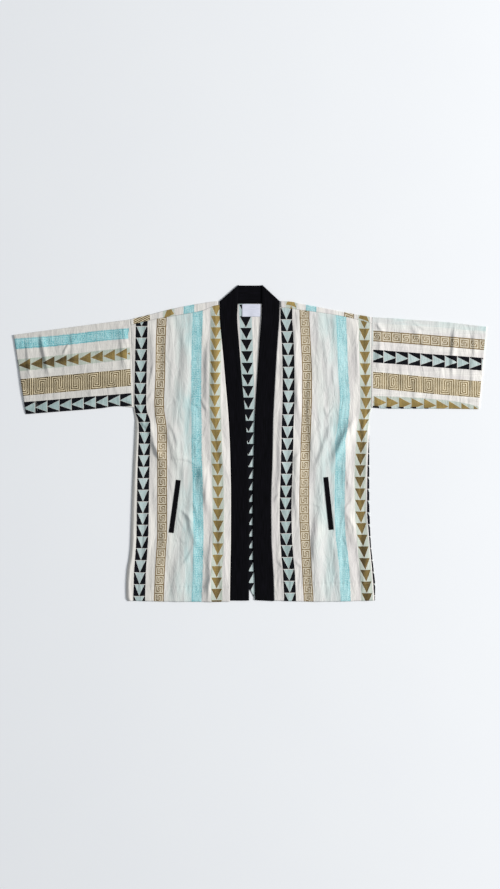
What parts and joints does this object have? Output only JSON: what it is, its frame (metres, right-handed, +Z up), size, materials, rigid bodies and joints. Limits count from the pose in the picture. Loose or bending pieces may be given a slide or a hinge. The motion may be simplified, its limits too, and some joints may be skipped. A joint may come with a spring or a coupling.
{
  "type": "kimono jacket laid flat",
  "caption": "Open-front kimono jacket of striped printed cotton with wide straight sleeves and a dark neckband, lying face up and flat.",
  "frame": {"origin": "on the flat underside of the back, in the middle of the laid-out jacket", "axes": "+X towards the sleeve at the viewer's right, +Y from the hem to the collar, +Z up off the surface it lies on"},
  "size_m": [1.2773, 0.8553, 0.0074],
  "materials": {
    "printed_cotton": "soft matt plain weave, screen printed",
    "black_cotton": "soft matt plain weave",
    "label_satin": "smooth satin weave"
  },
  "bodies": {
    "root": {"back": "printed_cotton", "front_left": "printed_cotton", "front_right": "printed_cotton", "sleeve_left": "printed_cotton", "sleeve_right": "printed_cotton", "neckband": "black_cotton", "welt_left": "black_cotton", "welt_right": "black_cotton", "label": "label_satin"}
  },
  "joints": []
}
